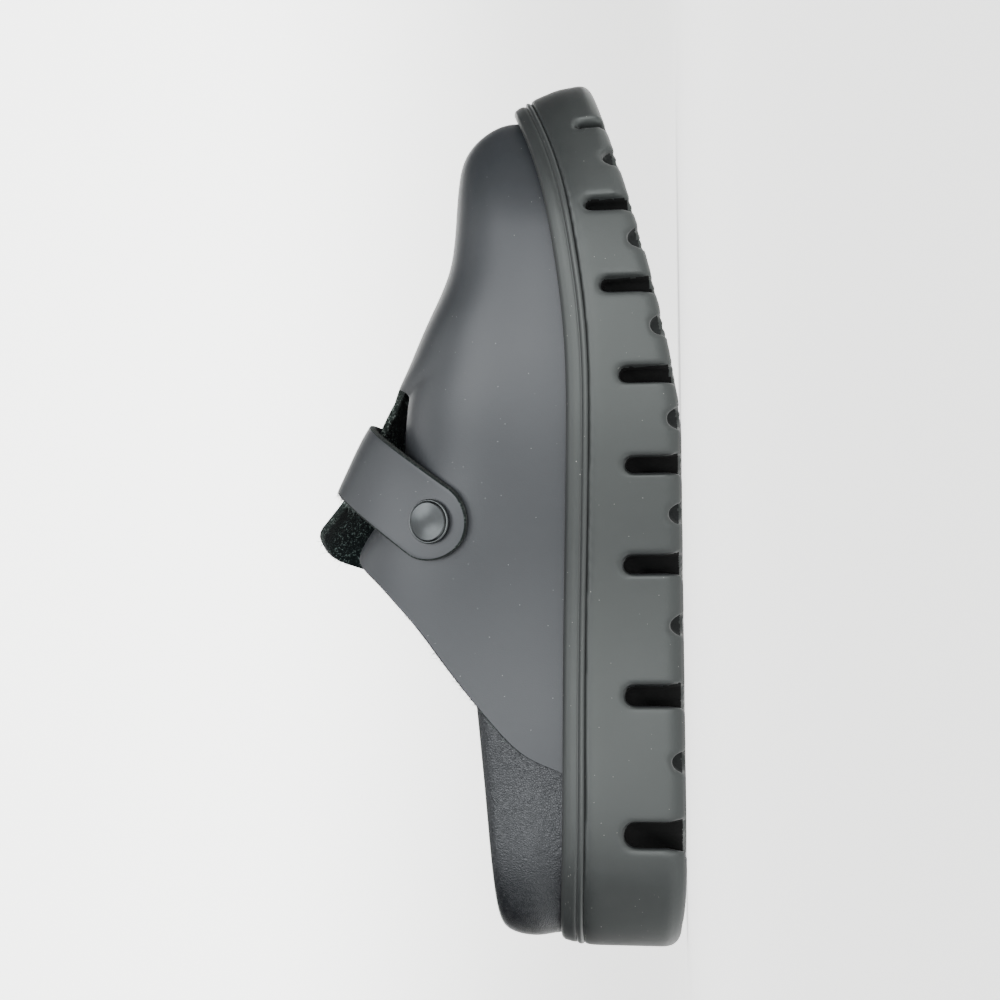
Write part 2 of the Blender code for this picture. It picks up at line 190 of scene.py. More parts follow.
def edge(t, side, inset=0.0):
    """Point of the outline at a station on one side, moved inward by inset."""

    def on(s):
        reach = inner_reach(s) if side == INNER else outer_reach(s)
        return LENGTH * (1 - np.cos(np.pi * s)) / 2, side * reach

    x, y = on(t)
    x_ahead, y_ahead = on(t + 1e-4)
    x_back, y_back = on(t - 1e-4)
    size = np.hypot(x_ahead - x_back, y_ahead - y_back)
    return x + side * (y_ahead - y_back) / size * inset, y - side * (x_ahead - x_back) / size * inset


STATIONS = np.linspace(0, 1, 231)
CENTRE_Y = (edge(STATIONS, INNER)[1].min() + edge(STATIONS, OUTER)[1].max()) / 2
CENTRE_X = (HEEL_TUCK + LENGTH) / 2
print("middle of the platform:", round(CENTRE_X, 2), round(CENTRE_Y, 2), "mm")

# %% [markdown]
# ## From points to a piece
# Every piece below is a grid of points, in rows and columns, and neighbours become four-cornered faces.
# The same three helpers serve them all: one numbers the faces of a grid, one rounds the corners of a
# profile, and one turns points into a smooth object in metres. Rounding in the numbers gives cleaner
# corners than a Bevel modifier would on strips as narrow as these.


# %% Grids, rounded corners and objects
def grid_faces(rows, columns, wrap=False):
    """Corner numbers of a grid's faces. A wrapped grid closes each row on itself."""
    i, j = np.meshgrid(np.arange(rows - 1), np.arange(columns if wrap else columns - 1), indexing="ij")
    k = (j + 1) % columns
    corners = [i * columns + j, i * columns + k, (i + 1) * columns + k, (i + 1) * columns + j]
    return np.stack(corners, axis=-1).reshape(-1, 4).tolist()


def round_rows(loops, radius, steps=3):
    """A stack of loops with each corner of its profile replaced by a short curve."""
    loops = np.array(loops)
    fine = [loops[0]]
    for before, here, after in zip(loops, loops[1:], loops[2:]):
        ends = []
        for other in (before, after):
            way = other - here
            reach = np.linalg.norm(way, axis=1, keepdims=True)
            ends.append(here + way * np.minimum(0.5, radius / np.maximum(reach, 1e-6)))
        for s in np.linspace(0, 1, steps + 1):
            fine.append((1 - s) ** 2 * ends[0] + 2 * s * (1 - s) * here + s * s * ends[1])
    return np.array([*fine, loops[-1]])


def make_piece(name, points, faces, slots=None):
    """Smooth object in metres with its faces turned out. slots gives the material number of each face."""
    placed = (np.reshape(points, (-1, 3)) - (CENTRE_X, CENTRE_Y, 0)) * MM
    mesh = bpy.data.meshes.new(name)
    mesh.from_pydata(placed.tolist(), [], faces)
    if slots is not None:
        mesh.polygons.foreach_set("material_index", np.array(slots, np.int32))
    work = bmesh.new()
    work.from_mesh(mesh)
    bmesh.ops.remove_doubles(work, verts=work.verts, dist=5e-6)
    bmesh.ops.dissolve_degenerate(work, edges=work.edges, dist=1e-6)
    bmesh.ops.recalc_face_normals(work, faces=work.faces)
    work.to_mesh(mesh)
    work.free()
    mesh.shade_smooth()
    body = bpy.data.objects.new(name, mesh)
    bpy.context.scene.collection.objects.link(body)
    return body


def ring(inset, height):
    """Closed loop round the shoe: heel to toe on the inner side and back on the outer side."""
    halves = []
    for side, t in ((INNER, STATIONS[:-1]), (OUTER, STATIONS[:0:-1])):
        x, y = edge(t, side, inset(behind_toe(t), t, side))
        halves.append(np.stack([x, y, height(LENGTH - x, t, side)], axis=1))
    return np.concatenate(halves)


def cap(first, size):
    """Faces that close a loop by joining its inner side to its outer side."""
    half = size // 2
    strips = [(first, first + 1, first + size - 1)]
    for i in range(1, half - 1):
        strips.append((first + i, first + i + 1, first + size - i - 1, first + size - i))
    strips.append((first + half - 1, first + half, first + half + 1))
    return strips


# %% [markdown]
# ## How a finish is written
# A finish is a material made of nodes. Placing them one by one hides the idea behind the wiring, so two
# small classes do the wiring. Signal wraps one socket, and arithmetic on it adds Math nodes. Finish holds
# the material and adds any other node in one call. Patterns are measured in metres on the object itself,
# so a pore is as large on the strap as on the vamp.


# %% Signals and finishes
class Signal:
    """A socket that takes part in arithmetic. Each operator adds one Math node."""

    def __init__(self, finish, socket):
        self.finish = finish
        self.socket = socket

    def math(self, operation, first, second):
        return self.finish.node("ShaderNodeMath", {"operation": operation}, {0: first, 1: second})

    def __add__(self, other):
        return self.math("ADD", self, other)

    def __radd__(self, other):
        return self.math("ADD", other, self)

    def __sub__(self, other):
        return self.math("SUBTRACT", self, other)

    def __rsub__(self, other):
        return self.math("SUBTRACT", other, self)

    def __mul__(self, other):
        return self.math("MULTIPLY", self, other)

    def __rmul__(self, other):
        return self.math("MULTIPLY", other, self)


class Finish:
    """A material on one Principled shader, with its fixed values set on the shader's own sockets."""

    def __init__(self, name, fixed):
        self.material = bpy.data.materials.new(name)
        self.material.use_nodes = True
        self.tree = self.material.node_tree
        self.shader = self.tree.nodes["Principled BSDF"]
        for socket, value in fixed.items():
            self.shader.inputs[socket].default_value = value
        self.place = self.node("ShaderNodeTexCoord", output="Object")

    def node(self, kind, settings=None, inputs=None, output=0):
        made = self.tree.nodes.new(kind)
        for key, value in (settings or {}).items():
            setattr(made, key, value)
        for key, value in (inputs or {}).items():
            self.feed(made.inputs[key], value)
        return Signal(self, made.outputs[output])

    def feed(self, socket, value):
        if isinstance(value, Signal):
            self.tree.links.new(value.socket, socket)
        else:
            socket.default_value = value

    def noise(self, size_mm, detail=3.0, place=None):
        """Cloudy pattern between 0 and 1 whose patches are about size_mm wide."""
        inputs = {"Vector": place or self.place, "Scale": 1 / (size_mm * MM), "Detail": detail}
        return self.node("ShaderNodeTexNoise", None, inputs)

    def cells(self, size_mm, feature="F1", output="Distance"):
        """Distance to the middle of the nearest cell, in cells."""
        inputs = {"Vector": self.place, "Scale": 1 / (size_mm * MM)}
        return self.node("ShaderNodeTexVoronoi", {"feature": feature}, inputs, output)

    def step(self, signal, low, high):
        """0 where the signal is at low, 1 where it is at high, smooth between."""
        inputs = {0: signal, 1: low, 2: high, 3: 0.0, 4: 1.0}
        return self.node("ShaderNodeMapRange", {"interpolation_type": "SMOOTHSTEP"}, inputs)

    def mix(self, share, first, second):
        """From the first colour to the second by share."""
        return self.node("ShaderNodeMix", {"data_type": "RGBA"}, {0: share, 6: first, 7: second}, output=2)

    def bump(self, height, depth_mm, under=None):
        """Surface that rises by up to depth_mm where height is 1, on top of another one."""
        inputs = {"Height": height, "Distance": depth_mm * MM, "Strength": 1.0}
        if under:
            inputs["Normal"] = under
        return self.node("ShaderNodeBump", None, inputs)

    def paint(self, **sockets):
        """Feeds the shader: base_color=..., roughness=..., normal=... ."""
        for name, signal in sockets.items():
            self.feed(self.shader.inputs[name.replace("_", " ").title()], signal)
        return self.material


def colour(red, green, blue):
    return (red, green, blue, 1.0)


def dress(body, finishes, nodes=()):
    """Gives a piece its finishes, fixes it to the shoe and hides the solids that it stands for."""
    for finish in finishes:
        body.data.materials.append(finish)
    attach(body, "root")
    if nodes:
        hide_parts(*nodes)
    body.data.calc_loop_triangles()
    print(body.name, "has", len(body.data.loop_triangles), "triangles")
    return body


# %% [markdown]
# ## The platform
# The platform is one thick moulding of dark foamed rubber. Its wall is nearly upright, deep round-ended
# grooves run from the wall into chevrons underneath, and small half-round nicks mark the lower edge
# between them. A Boolean cuts the grooves, but it leaves knife edges, and rubber from a mould has none. So
# the cut body is remeshed into fine voxels and smoothed a little, which rounds every edge alike, as the
# mould does.

# %% Wall of the platform
# inset from the outline, share of the wall's height, share of the toe flare.
WALL_PROFILE = (
    (3.2, 0.0, 0.0),
    (1.0, 0.03, 0.0),
    (0.0, 0.11, 0.0),
    (0.0, 0.5, 0.25),
    (0.0, 0.88, 0.84),
    (0.2, 0.965, 0.96),
    (0.8, 1.0, 1.0),
)

wall_loops = []
for inset, share, lean in WALL_PROFILE:
    wall_loops.append(
        ring(
            lambda u, t, side: inset + lean * flare(u) + tuck(u),
            lambda u, t, side: tread(u) + share * (rim_top(u) - RIM_BAND - tread(u)),
        )
    )
wall_loops = round_rows(wall_loops, 1.6, 3)
loop_size = wall_loops.shape[1]
wall_faces = grid_faces(len(wall_loops), loop_size, wrap=True)
wall_faces += cap(0, loop_size) + cap((len(wall_loops) - 1) * loop_size, loop_size)
platform = make_piece("platform", wall_loops, wall_faces)

# %% Grooves and nicks
# u, height of the closed end above the tread, width.
GROOVES = (
    (17.5, 9.0, 2.8),
    (43.5, 13.5, 3.6),
    (67.5, 15.4, 3.9),
    (93.5, 15.8, 4.4),
    (119.5, 16.4, 4.8),
    (148.5, 17.4, 5.3),
    (187.0, 17.6, 5.8),
    (228.0, 18.4, 7.6),
)
# way in from the wall, share of the depth, share of the width, softness of the mouth towards the toe.
GROOVE_RUN = (
    (-9.0, 1.0, 1.0, 1.3),
    (-0.2, 1.0, 1.0, 1.3),
    (0.7, 1.0, 1.0, 0.5),
    (2.0, 1.0, 1.0, 0.0),
    (4.5, 1.0, 1.0, 0.0),
    (9.5, 0.8, 1.0, 0.0),
    (None, 0.34, 0.8, 0.0),
)
GROOVE_SWEEP = 0.55
GROOVE_LENGTHS = (11.0, 40.0)
MIDDLE_RIB = 10.0
CUT_BELOW = 7
MOUTH_BEHIND = 0.35
NICKS = (28.5, 53.5, 79.0, 106.0, 133.5, 166.0, 206.0)
NICK_RADIUS = 3.0
NICK_LIFT = 0.4
NICK_TALL = 1.25
# way in from the wall, share of the radius.
NICK_RUN = ((-6.0, 1.0), (7.0, 1.0), (10.0, 0.45))


def inward_at(u, side):
    """Point of the wall at u, and the direction from there into the platform."""
    start = np.array(edge(station(LENGTH - u), side))
    return start, np.array(edge(station(LENGTH - u), side, 1.0)) - start


def groove_sections(u, top, wide, side):
    """Cross-sections of one groove, from outside the wall to its end under the foot."""
    start, inward = inward_at(u, side)
    sweep = inward - (GROOVE_SWEEP, 0.0)
    sweep = sweep / np.linalg.norm(sweep)
    across = np.array((-sweep[1], sweep[0]))
    t = station(LENGTH - u)
    middle = (edge(t, INNER)[1] + edge(t, OUTER)[1]) / 2
    run = np.clip((abs(start[1] - middle) - MIDDLE_RIB) / max(abs(sweep[1]), 0.5), *GROOVE_LENGTHS)
    sections = []
    for go, deep, spread, soft in GROOVE_RUN:
        go = run if go is None else go
        x, y = start + (inward if go < 5 else sweep) * go
        low = tread(LENGTH - x) - CUT_BELOW
        high = tread(LENGTH - x) + top * deep + 0.5 * soft
        r = wide * spread / 2
        flat = [(-wide * 0.8, low), (wide * 0.8, low), (r, (low + high) / 2)]
        for angle in np.linspace(0, np.pi, 13):
            flat.append((r * math.cos(angle), high - r + r * math.sin(angle)))
        flat.append((-r, (low + high) / 2))
        flat = [(w * (1 + soft / r * (1.0 if w * side > 0 else MOUTH_BEHIND)), z) for w, z in flat]
        sections.append([(x + across[0] * w, y + across[1] * w, z) for w, z in flat])
    return sections


def nick_sections(u, side):
    """Round plug that takes a half-round nick out of the lower edge."""
    start, inward = inward_at(u, side)
    across = np.array((-inward[1], inward[0]))
    sections = []
    for go, share in NICK_RUN:
        loop = []
        for angle in np.linspace(0, 2 * np.pi, 24, endpoint=False):
            x, y = start + inward * go + across * NICK_RADIUS * share * math.cos(angle)
            loop.append((x, y, tread(u) + NICK_LIFT + NICK_RADIUS * share * NICK_TALL * math.sin(angle)))
        sections.append(loop)
    return sections


cutters = []
for side in (INNER, OUTER):
    cutters += [groove_sections(u, top, wide, side) for u, top, wide in GROOVES]
    cutters += [nick_sections(u, side) for u in NICKS]

cut_points = []
cut_faces = []
for sections in cutters:
    first = len(cut_points)
    size = len(sections[0])
    last = first + (len(sections) - 1) * size
    cut_points += [point for section in sections for point in section]
    for face in grid_faces(len(sections), size, wrap=True):
        cut_faces.append([first + corner for corner in face])
    cut_faces += [list(range(first, first + size)), list(range(last + size - 1, last - 1, -1))]
cutter = make_piece("tread_cutter", cut_points, cut_faces)
print(len(cutters), "grooves and nicks")

# %% Cut, remesh and soften
VOXEL = 0.75
SOFTEN_STEPS = 7
FACE_BUDGET = 180000


def keep_modified(body):
    """Replaces a piece's mesh by what its modifiers make of it."""
    depsgraph = bpy.context.evaluated_depsgraph_get()
    mesh = bpy.data.meshes.new_from_object(body.evaluated_get(depsgraph))
    body.modifiers.clear()
    body.data = mesh


cut = platform.modifiers.new("lugs", "BOOLEAN")
cut.operation = "DIFFERENCE"
cut.solver = "EXACT"
cut.object = cutter
mould = platform.modifiers.new("mould", "REMESH")
mould.mode = "VOXEL"
mould.voxel_size = VOXEL * MM
soften = platform.modifiers.new("soften", "SMOOTH")
soften.factor = 0.5
soften.iterations = SOFTEN_STEPS
keep_modified(platform)
bpy.data.objects.remove(cutter)
print("remeshed platform:", len(platform.data.polygons), "faces")

# %% [markdown]
# Underneath, the blocks between the channels carry fine wavy ribs for grip. They are too fine for the
# solid, so the voxels of the flat tread are pressed in by a wave: rings about the middle of the heel, and
# cross ribs that bow forward under the forefoot.

# %% Fine ribs under the tread
RIB_DEPTH = 0.45
RIB_PITCH = 3.4
RIB_EDGE = (3.0, 7.0)
RIB_BOW = 0.006
RIB_WIGGLE = 0.8
HEEL_MIDDLE = (38.0, 0.0)
WAIST = 105.0

spots = np.empty(len(platform.data.vertices) * 3)
platform.data.vertices.foreach_get("co", spots)
spots = spots.reshape(-1, 3)
rib_x = spots[:, 0] / MM + CENTRE_X
rib_y = spots[:, 1] / MM + CENTRE_Y
under = 1 - blend(0.15, 0.5, spots[:, 2] / MM - tread(LENGTH - rib_x))
rib_t = station(rib_x)
under = under * blend(*RIB_EDGE, inner_reach(rib_t) + rib_y) * blend(*RIB_EDGE, outer_reach(rib_t) - rib_y)
under = under * blend(8, 20, rib_x) * blend(8, 30, LENGTH - rib_x)
heel_wave = np.hypot(rib_x - HEEL_MIDDLE[0], rib_y - HEEL_MIDDLE[1]) + RIB_WIGGLE * np.sin(rib_y / 3)
toe_wave = rib_x + RIB_BOW * rib_y**2 + RIB_WIGGLE * np.sin(rib_y / 3)
wave = np.where(rib_x < WAIST, heel_wave, toe_wave)
spots[:, 2] += under * RIB_DEPTH * MM * (0.5 + 0.5 * np.sin(2 * np.pi * wave / RIB_PITCH))
platform.data.vertices.foreach_set("co", spots.ravel())

thin = platform.modifiers.new("thin", "DECIMATE")
thin.ratio = min(1.0, FACE_BUDGET / (2 * len(platform.data.polygons)))
keep_modified(platform)
platform.data.shade_smooth()

# %% [markdown]
# ## Rubber
# The rubber is charcoal grey and dull. What tells it from painted plastic is small: a cloudy bloom, pale
# dust that catches on it, and a skin that is never quite smooth. Noise of two sizes gives the bloom and the
# skin. The dust is the middle of a few cells of a Voronoi pattern, so it comes as separate specks.


# %% Rubber finish
def speckle(finish, size_mm, radius, share):
    """Scattered specks: the middles of some of the cells, chosen by a broad noise."""
    dots = 1 - finish.step(finish.cells(size_mm), radius * 0.4, radius)
    return dots * finish.step(finish.noise(size_mm * 2.7, 1.0), 1 - share, 1.02 - share)


def rubber_finish(name, dark, pale):
    finish = Finish(name, {"Specular IOR Level": 0.42, "Specular Tint": colour(0.93, 1.0, 0.975)})
    bloom = finish.step(finish.noise(38.0, 5.0), 0.3, 0.7)
    skin = finish.noise(0.5, 2.0)
    dust = speckle(finish, 6.0, 0.035, 0.54) + 0.7 * speckle(finish, 2.2, 0.065, 0.52)
    base = finish.mix(bloom, colour(*dark), colour(*pale))
    dusty = finish.mix(dust * 0.75, base, colour(0.34, 0.34, 0.32))
    finish.paint(
        base_color=dusty,
        roughness=0.40 + 0.08 * bloom + 0.2 * dust,
        normal=finish.bump(finish.noise(14.0, 2.0), 0.08, finish.bump(skin, 0.01)),
    )
    return finish.material


def dull_finish(name, dark, pale):
    finish = Finish(name, {"Roughness": 0.9, "Specular IOR Level": 0.1})
    return finish.paint(base_color=finish.mix(finish.noise(3.0), colour(*dark), colour(*pale)))


platform_rubber = rubber_finish("platform_rubber", (0.011, 0.012, 0.0125), (0.015, 0.0165, 0.0165))
# Near-black painted shade for the inside of the grooves, on a dull finish.
groove_shade_rubber = dull_finish("groove_shade_rubber", (0.002, 0.0022, 0.0022), (0.005, 0.0052, 0.0052))
nick_rubber = dull_finish("nick_rubber", (0.014, 0.0155, 0.0155), (0.022, 0.024, 0.024))
dress(platform, [platform_rubber, groove_shade_rubber, nick_rubber], ["outsole"])

# %% [markdown]
# Inside the grooves and the nicks nothing rubs the rubber, and it stays duller than on the wall. In the
# grooves it is also painted near black, as painted shade where little light gets in. The faces could be
# picked by hand, but the picks would be lost with every new mesh. So each face is asked how deep it lies
# behind the wall, and beside which groove, and takes its finish from that.

# %% Painted shade inside the grooves, dull rubber in the nicks
SHADE_DEPTH = 1.8
SHADE_LOW = 1.3
SHADE_HIGH = 1.5
SHADE_MARGIN = 2.0
SWEEP_SHARE = 0.6
PLAIN, IN_GROOVE, IN_NICK = 0, 1, 2
NEARBY = 1e-3

middles = np.empty(len(platform.data.polygons) * 3)
platform.data.polygons.foreach_get("center", middles)
face_x, face_y, face_z = middles.reshape(-1, 3).T / MM
face_x = face_x + CENTRE_X
face_y = face_y + CENTRE_Y
face_u = LENGTH - face_x
face_t = station(face_x)
depths = []
way_on = LENGTH * np.pi * np.sin(np.pi * face_t) * NEARBY + 1e-6
for side, reach in ((INNER, inner_reach), (OUTER, outer_reach)):
    slant = (reach(face_t + NEARBY) - reach(face_t - NEARBY)) / way_on
    depths.append((reach(face_t) - side * face_y) / np.hypot(1.0, slant))
depth = np.minimum(*depths) - flare(face_u) - tuck(face_u)
above_tread = face_z - tread(face_u)
below_rim = rim_top(face_u) - RIM_BAND - face_z
inside = (depth > SHADE_DEPTH) & (above_tread > SHADE_LOW) & (below_rim > SHADE_HIGH)
in_groove = np.zeros(len(face_u), bool)
for groove_u, _, wide in GROOVES:
    past = face_u - groove_u
    reach_in = wide / 2 + SHADE_MARGIN
    in_groove |= (past > -reach_in) & (past < reach_in + SWEEP_SHARE * np.maximum(depth, 0.0))
# Faces deep beside a groove take the painted shade, other deep faces the dull nick finish.
kinds = np.where(inside, np.where(in_groove, IN_GROOVE, IN_NICK), PLAIN)
platform.data.polygons.foreach_set("material_index", kinds.astype(np.int32))
counts = np.bincount(kinds, minlength=3)
print("dull faces:", counts[IN_GROOVE], "in grooves and", counts[IN_NICK], "in nicks")

# %% [markdown]
# ## The moulded rim
# A narrow moulding stands on the platform and holds the upper: a round bead, a groove below it and a second,
# flatter step. It is a loft, one profile carried round the whole outline. Its inner edge follows whatever
# stands inside it, so the dark line between rim and leather stays even all the way round.

# %% Rim
GAP = 0.35
UPPER_INSET = 6.6
UPPER_WALL = 2.2
COLLAR_END = 210.4
# inset from the outline, drop from the rim's top. The last two follow what stands inside.
RIM_PROFILE = (
    (2.4, 8.0),
    (0.75, 6.95),
    (0.55, 6.5),
    (0.6, 5.9),
    (1.0, 5.45),
    (1.75, 5.1),
    (1.55, 4.6),
    (1.6, 3.9),
    (1.95, 2.9),
    (2.8, 1.2),
    (4.1, 0.3),
    (5.5, 0.2),
    (None, 0.7),
    (None, 8.0),
)


def cup_bare(u):
    """0 where the upper covers the heel cup, 1 at the back where nothing does."""
    return blend(COLLAR_END, 262, u)


def bed_inset(u):
    return UPPER_INSET + flare(u) + (UPPER_WALL + GAP + 0.05) * (1 - cup_bare(u))


def rim_inset(inset, u):
    if inset is None:
        return np.where(u < COLLAR_END + 1, UPPER_INSET + flare(u), bed_inset(u)) - GAP
    return inset + flare(u) + tuck(u) * (1 - inset / 6.2)


rim_loops = []
for inset, drop in RIM_PROFILE:
    rim_loops.append(ring(lambda u, t, side: rim_inset(inset, u), lambda u, t, side: rim_top(u) - drop))
rim_loops = round_rows(rim_loops, 0.4, 3)
rim_loops = np.concatenate([rim_loops, rim_loops[:1]])
rim = make_piece("rim_band", rim_loops, grid_faces(len(rim_loops), rim_loops.shape[1], wrap=True))
rim_rubber = rubber_finish("rim_rubber", (0.012, 0.013, 0.0135), (0.016, 0.0175, 0.0175))
dress(rim, [rim_rubber], ["rim"])

# %% [markdown]
# ## The last
# The upper takes its shape from the last, the wooden foot it is pulled over. One function gives any point
# of it: a station along the shoe, and a place on the arch from the inner rim over the ridge to the outer
# rim. The arch is a superellipse, fuller than a circle, so the toes have room and the flanks stand up.
# The inner flap sinks a little beside the slit, as soft leather does where nothing holds it.

# %% Ridge, collar and arch
# u, height of the ridge above the floor.
RIDGE = (
    (10.6, 49.5),
    (12.6, 57.0),
    (16.0, 61.8),
    (23.2, 67.0),
    (29.2, 68.4),
    (37.7, 69.3),
    (50.2, 70.6),
    (57.8, 72.4),
    (67.3, 76.7),
    (78.2, 82.3),
    (88.6, 87.5),
    (94.1, 90.8),
    (106.2, 97.2),
    (116.0, 101.8),
    (126.3, 108.4),
    (135.5, 116.0),
    (141.7, 120.6),
    (148.0, 123.4),
    (165.0, 126.0),
    (215.0, 126.5),
)
# u, height of the collar's edge on the inner and on the outer side.
COLLAR = (
    (139.0, 119.0, 126.0),
    (143.0, 112.0, 121.8),
    (145.6, 107.0, 119.8),
    (148.5, 102.6, 116.6),
    (151.8, 98.4, 109.8),
    (155.0, 94.3, 100.6),
    (159.0, 90.0, 91.4),
    (164.8, 84.2, 84.6),
    (179.0, 72.5, 72.5),
    (192.3, 61.4, 61.4),
    (197.1, 57.2, 57.2),
    (202.6, 51.8, 51.8),
    (206.8, 45.6, 45.6),
    (210.4, 36.8, 36.8),
)
FLAP_CORNER = {INNER: 4.0, OUTER: 10.5}
FLAP_SINK = 19.0
FLAP_SPREAD = 0.12
FRONT_SPREAD = 0.45
SLIT_START = 92.0
SLIT_SEAM = -0.06
SLIT_HALF = 0.06
SLIT_ROUND = 4.5
SLIT_DROP = 0.07
SLIT_DROP_END = (100, 114)
TOE_TIP = UPPER_INSET + TOE_FLARE

ridge_height = spline([math.sqrt(row[0] - TOE_TIP) for row in RIDGE], [row[1] for row in RIDGE])
collar_height = {
    INNER: spline([row[0] for row in COLLAR], [row[1] for row in COLLAR]),
    OUTER: spline([row[0] for row in COLLAR], [row[2] for row in COLLAR]),
}


def arch_power(u, inner):
    """Fullness of the arch. The outer flank slopes more towards the instep."""
    return 2.5 + np.where(inner, 0.1, -0.6) * blend(35, 105, u)


def ridge_of(u, phi, spread):
    """Height that the arch aims at, lower on the inner flap. spread sets how soon it sinks.

    In front of the slit nothing parts the leather, so it sinks over a wider stretch.
    """
    wide = spread + FRONT_SPREAD * (1 - blend(84, 101, u))
    sink = FLAP_SINK * blend(70, 140, u) * blend(0.0, wide, -phi)
    return ridge_height(np.sqrt(np.maximum(0.0, u - TOE_TIP))) - sink


def shell(t, phi, spread=FLAP_SPREAD):
    """Outside of the last. phi is -1 at the inner rim, 0 on the ridge and 1 at the outer rim."""
    t, phi = np.broadcast_arrays(np.asarray(t, float), np.asarray(phi, float))
    u = behind_toe(t)
    inset = UPPER_INSET + flare(u)
    inner_x, inner_y = edge(t, INNER, inset)
    outer_x, outer_y = edge(t, OUTER, inset)
    ridge_x = (inner_x + outer_x) / 2
    ridge_y = (inner_y + outer_y) / 2 - 3.0 * blend(60, 110, u)
    base_x = np.where(phi < 0, inner_x, outer_x)
    base_y = np.where(phi < 0, inner_y, outer_y)
    power = 2 / arch_power(u, phi < 0)
    turn = (1 - np.abs(phi)) * np.pi / 2
    out = np.maximum(0.0, np.cos(turn)) ** power
    up = np.maximum(0.0, np.sin(turn)) ** power
    foot = rim_top(LENGTH - base_x)
    top = np.maximum(foot, ridge_of(LENGTH - ridge_x, phi, spread))
    x = ridge_x + (base_x - ridge_x) * out
    y = ridge_y + (base_y - ridge_y) * out
    return np.stack([x, y, foot + (top - foot) * up], axis=-1)


def unit(vectors):
    return vectors / np.maximum(np.linalg.norm(vectors, axis=-1, keepdims=True), 1e-9)


def shell_out(t, phi, spread=FLAP_SPREAD):
    """Direction that points away from the last."""
    ahead = shell(np.minimum(t + 5e-4, 1.0), phi, spread) - shell(t - 5e-4, phi, spread)
    over = shell(t, np.minimum(phi + 4e-3, 1.0), spread) - shell(t, np.maximum(phi - 4e-3, -1.0), spread)
    return unit(np.cross(ahead, over))


def rise_at(t, side, z):
    """Share of the arch, from rim to ridge, where one side of the last passes the height z."""
    u = behind_toe(t)
    foot = rim_top(u)
    share = np.clip((z - foot) / (ridge_of(u, side * 0.5, FLAP_SPREAD) - foot), 0.0, 1.0)
    return np.arcsin(share ** (arch_power(u, side == INNER) / 2)) * 2 / np.pi


def open_edge(t, side):
    """Place on the arch where one side of the upper ends, at the slit or at the collar."""
    u = behind_toe(t)
    slit = SLIT_SEAM + side * SLIT_HALF * np.sqrt(np.clip((u - SLIT_START) / SLIT_ROUND, 0.0, 1.0))
    if side == INNER:
        slit = slit - SLIT_DROP * blend(SLIT_START, SLIT_START + 3, u) * (1 - blend(*SLIT_DROP_END, u))
    top = shell(t, slit)[..., 2]
    corner = FLAP_CORNER[side]
    collar = collar_height[side](np.clip(u, COLLAR[0][0], COLLAR_END))
    share = np.clip(0.5 + 0.5 * (top - collar) / corner, 0.0, 1.0)
    height = top + (collar - top) * share - corner * share * (1 - share)
    rise = rise_at(t, side, height)
    full = rise_at(t, side, top)
    rise = rise + (1 - np.abs(slit) - full) * (rise / full) ** 8
    cut = side * (1 - np.minimum(rise, 1 - np.abs(slit)))
    return np.where(u < COLLAR[0][0], slit, cut)


print("the instep is", round(float(shell(station(LENGTH - 135.0), 0.0)[2]), 1), "mm above the floor")

# %% [markdown]
# ## The upper
# The upper is one sheet of leather with a raw cut edge: smooth outside, suede inside. A Solidify modifier
# could give it thickness, but then the cut edge would be a sharp ledge. Here each row of points runs up the
# outside, round the cut edge and down the inside, so the edge is slightly rounded and can have its own
# finish. In front of the slit the two sides meet on the ridge and have no edge.

# %% Upper
UPPER_COLUMNS = 60
# way back from the edge, depth as a share of the thickness.
CUT_EDGE = ((0.17, 0.05), (0.0, 0.24), (0.0, 0.76), (0.17, 0.95))
CUT_BACK = 0.55
OUTSIDE, INSIDE, CUT = 0, 1, 2

slit_steps = SLIT_START + np.array([0.0, 0.1, 0.4, 0.9, 1.6, 2.5, 3.6, 4.5])
slit_rows = station(LENGTH - np.array([*slit_steps, COLLAR[0][0]]))
even_rows = np.linspace(station(LENGTH - COLLAR_END), 1.0, 210)
far_from_slit = np.abs(even_rows[:, None] - slit_rows[None, :]).min(axis=1) > 8e-4
upper_rows = np.sort(np.concatenate([even_rows[far_from_slit], slit_rows]))
row_u = behind_toe(upper_rows)


def upper_half(side):
    """Points of one side, one row per station, and the material number of each column."""
    t = upper_rows[:, None]
    end = open_edge(upper_rows, side)[:, None]
    phi = side + (end - side) * np.linspace(0, 1, UPPER_COLUMNS)[None, :]
    outside = shell(t, phi)
    away = shell_out(t, phi)
    tip = outside[:, -1].copy()
    tip_away = away[:, -1]
    on = -side * 4e-3
    forward = unit(shell(upper_rows, end[:, 0] + on) - shell(upper_rows, end[:, 0] - on))
    open_here = blend(SLIT_START, SLIT_START + 4, row_u)[:, None]
    outside[:, -1] = tip - forward * CUT_BACK * open_here
    inside = outside - away * UPPER_WALL
    skirt = outside[:, :1].copy()
    skirt[..., 2] = rim_top(LENGTH - skirt[..., 0]) - RIM_BAND + GAP
    skirt_inside = skirt - unit(away[:, :1] * (1, 1, 0)) * UPPER_WALL
    cut = [tip - forward * back * open_here - tip_away * UPPER_WALL * deep for back, deep in CUT_EDGE]
    cut = np.stack(cut, axis=1)
    points = np.concatenate([skirt, outside, cut, inside[:, ::-1], skirt_inside], axis=1)
    kinds = [OUTSIDE] * UPPER_COLUMNS + [CUT] * (len(CUT_EDGE) + 1) + [INSIDE] * (UPPER_COLUMNS + 1)
    return points, kinds


upper_points = []
upper_faces = []
upper_slots = []
for side in (INNER, OUTER):
    points, kinds = upper_half(side)
    rows, columns = points.shape[:2]
    first = sum(len(part) for part in upper_points)
    upper_points.append(points.reshape(-1, 3))
    for number, face in enumerate(grid_faces(rows, columns, wrap=True)):
        row, column = divmod(number, columns)
        kind = kinds[column]
        if kind == CUT and row_u[row] <= SLIT_START + 1e-6:
            continue
        upper_faces.append([first + corner for corner in face])
        upper_slots.append(kind)
upper = make_piece("vamp", np.concatenate(upper_points), upper_faces, upper_slots)
